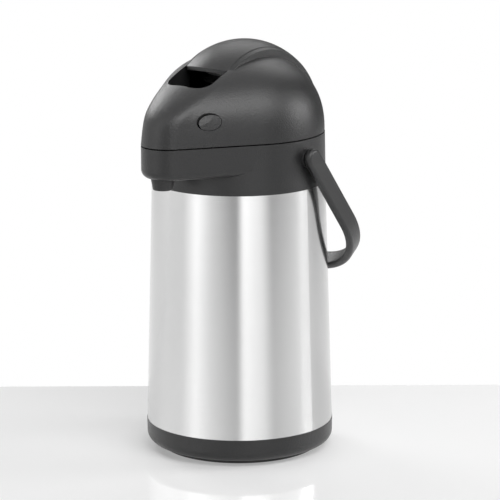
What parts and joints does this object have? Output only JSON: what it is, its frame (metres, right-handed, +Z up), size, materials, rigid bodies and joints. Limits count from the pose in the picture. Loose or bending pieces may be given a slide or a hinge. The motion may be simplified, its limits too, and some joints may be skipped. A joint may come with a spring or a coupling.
{
  "type": "pump pot",
  "caption": "Insulated pump pot: tapered brushed steel casing, dark moulded base and collar with a spout nose, domed hinged lid with an arched pump lever, swinging carry handle.",
  "frame": {"origin": "centre of the underside of the anti-slip pad", "axes": "+Z up, spout toward -Y, handle pivots along X"},
  "size_m": [0.1636, 0.2029, 0.3445],
  "materials": {
    "dark_plastic": "fine moulded grain",
    "button_plastic": "fine moulded grain",
    "inner_plastic": "smooth moulded",
    "casing_steel": "brushed round",
    "flask_steel": "plain drawn",
    "hardware_steel": "plated",
    "black_rubber": "matt",
    "pale_seal": "matt"
  },
  "bodies": {
    "pot": {"base_cup": "dark_plastic", "glide_ring": "inner_plastic", "flask_cushion": "black_rubber", "outer_shell": "casing_steel", "flask_outer_wall": "flask_steel", "flask_inner_body": "flask_steel", "flask_inner_neck": "flask_steel", "neck_gasket": "pale_seal", "collar": "dark_plastic", "mouth_ring": "inner_plastic", "spout_nozzle": "button_plastic", "pour_tube": "inner_plastic", "riser_tube": "flask_steel", "riser_seal": "pale_seal", "lid_hinge_pin": "hardware_steel"},
    "foot": {"anti_slip_pad": "black_rubber", "swivel_foot": "dark_plastic", "swivel_washer": "hardware_steel", "swivel_screw": "hardware_steel"},
    "lid": {"lid_shell": "dark_plastic", "lid_base": "inner_plastic", "lid_gasket": "pale_seal", "lid_screws": "hardware_steel", "air_valve": "pale_seal", "bellows": "black_rubber", "return_spring": "hardware_steel", "lever_pin": "hardware_steel", "latch_spring_right": "hardware_steel", "latch_spring_left": "hardware_steel"},
    "lever": {"pump_lever": "dark_plastic"},
    "plunger": {"bellows_plate": "inner_plastic"},
    "latch_right": {"latch_button_right": "button_plastic"},
    "latch_left": {"latch_button_left": "button_plastic"},
    "handle": {"carry_handle": "dark_plastic", "handle_pivot_pins": "hardware_steel"}
  },
  "joints": [
    {"name": "foot_swivel", "type": "hinge", "parent": "pot", "child": "foot", "pos_m": [0, 0, 0], "axis": [0, 0, 1], "continuous": true},
    {"name": "lid_hinge", "type": "hinge", "parent": "pot", "child": "lid", "pos_m": [0, 0.0773, 0.2628], "axis": [-1, 0, 0], "range_deg": [0, 80]},
    {"name": "lever_press", "type": "hinge", "parent": "lid", "child": "lever", "pos_m": [0, 0.059, 0.303], "axis": [1, 0, 0], "range_deg": [0, 12], "stiffness_Nm_per_rad": 4, "springref_deg": -5.73},
    {"name": "plunger_stroke", "type": "slide", "parent": "lid", "child": "plunger", "axis": [0, 0, -1], "range_m": [0, 0.0126], "deforming": ["bellows", "return_spring"]},
    {"name": "latch_right_press", "type": "slide", "parent": "lid", "child": "latch_right", "axis": [-0.8334, 0.5527, 0], "range_m": [0, 0.0025], "stiffness_N_per_m": 600, "springref_m": -0.001, "deforming": ["latch_spring_right"]},
    {"name": "latch_left_press", "type": "slide", "parent": "lid", "child": "latch_left", "axis": [0.8334, 0.5527, 0], "range_m": [0, 0.0025], "stiffness_N_per_m": 600, "springref_m": -0.001, "deforming": ["latch_spring_left"]},
    {"name": "handle_swing", "type": "hinge", "parent": "pot", "child": "handle", "pos_m": [0, 0, 0.254], "axis": [1, 0, 0], "range_deg": [0, 283]}
  ],
  "couplings": [
    {"joint": "plunger_stroke", "follows": "lever_press", "m_per_rad": 0.0596}
  ]
}
